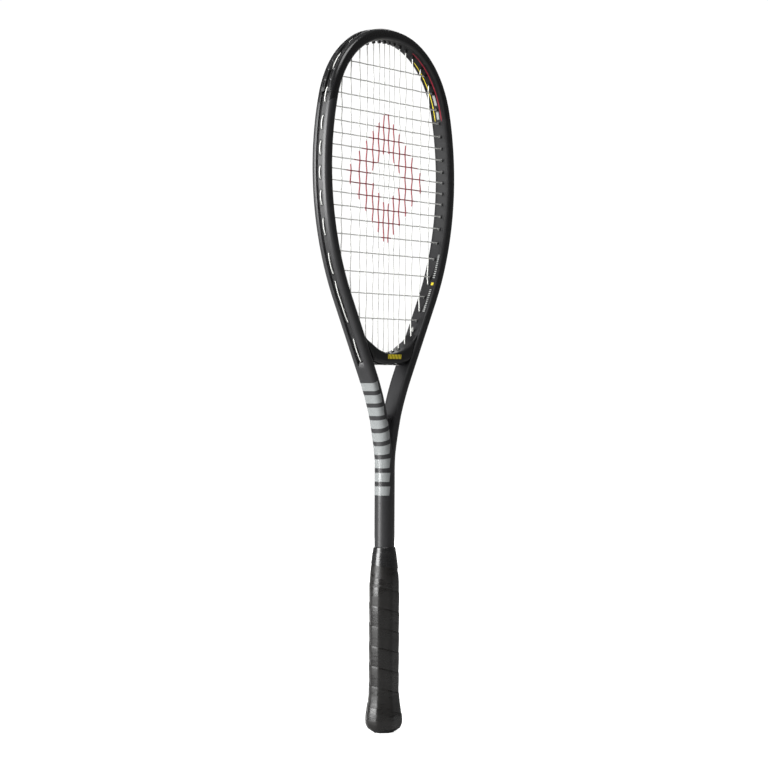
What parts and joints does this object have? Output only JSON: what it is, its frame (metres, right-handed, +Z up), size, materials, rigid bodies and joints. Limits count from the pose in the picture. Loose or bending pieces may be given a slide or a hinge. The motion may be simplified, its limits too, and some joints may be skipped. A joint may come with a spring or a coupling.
{
  "type": "squash racket",
  "caption": "Tear-drop squash racket with an open throat, woven string bed, tip guard, and a wrapped octagonal handle with a flared butt.",
  "frame": {"origin": "centre of the butt cap's end face, at the bottom of the handle", "axes": "+Z up the shaft to the tip; the string bed lies in the XZ plane; -Y is the front face; X runs across the head"},
  "size_m": [0.2146, 0.034, 0.6859],
  "materials": {
    "frame": "satin charcoal lacquer over a carbon-fibre composite tube",
    "bridge": "satin black lacquer over composite",
    "guard": "moulded nylon, semi-gloss black",
    "grommets": "moulded nylon, matt black",
    "string": "clear-white multifilament string with a red stencil",
    "pallet": "moulded polyurethane foam",
    "butt": "moulded soft plastic, matt black",
    "staple": "zinc-plated wire",
    "badge": "plain moulded disc",
    "grip": "black synthetic grip with a slight sheen",
    "tape": "glossy black vinyl tape"
  },
  "bodies": {
    "root": {"frame_tube": "frame", "throat_bridge": "bridge", "bumper_guard": "guard", "grommet_strip_left": "grommets", "grommet_strip_right": "grommets", "bridge_grommet_strip": "grommets", "main_string": "string", "cross_string": "string", "handle_pallet_left": "pallet", "handle_pallet_right": "pallet", "butt_cap": "butt", "butt_cap_staples": "staple", "butt_badge": "badge", "grip_wrap": "grip", "grip_staple": "staple", "finishing_tape": "tape"}
  },
  "joints": []
}
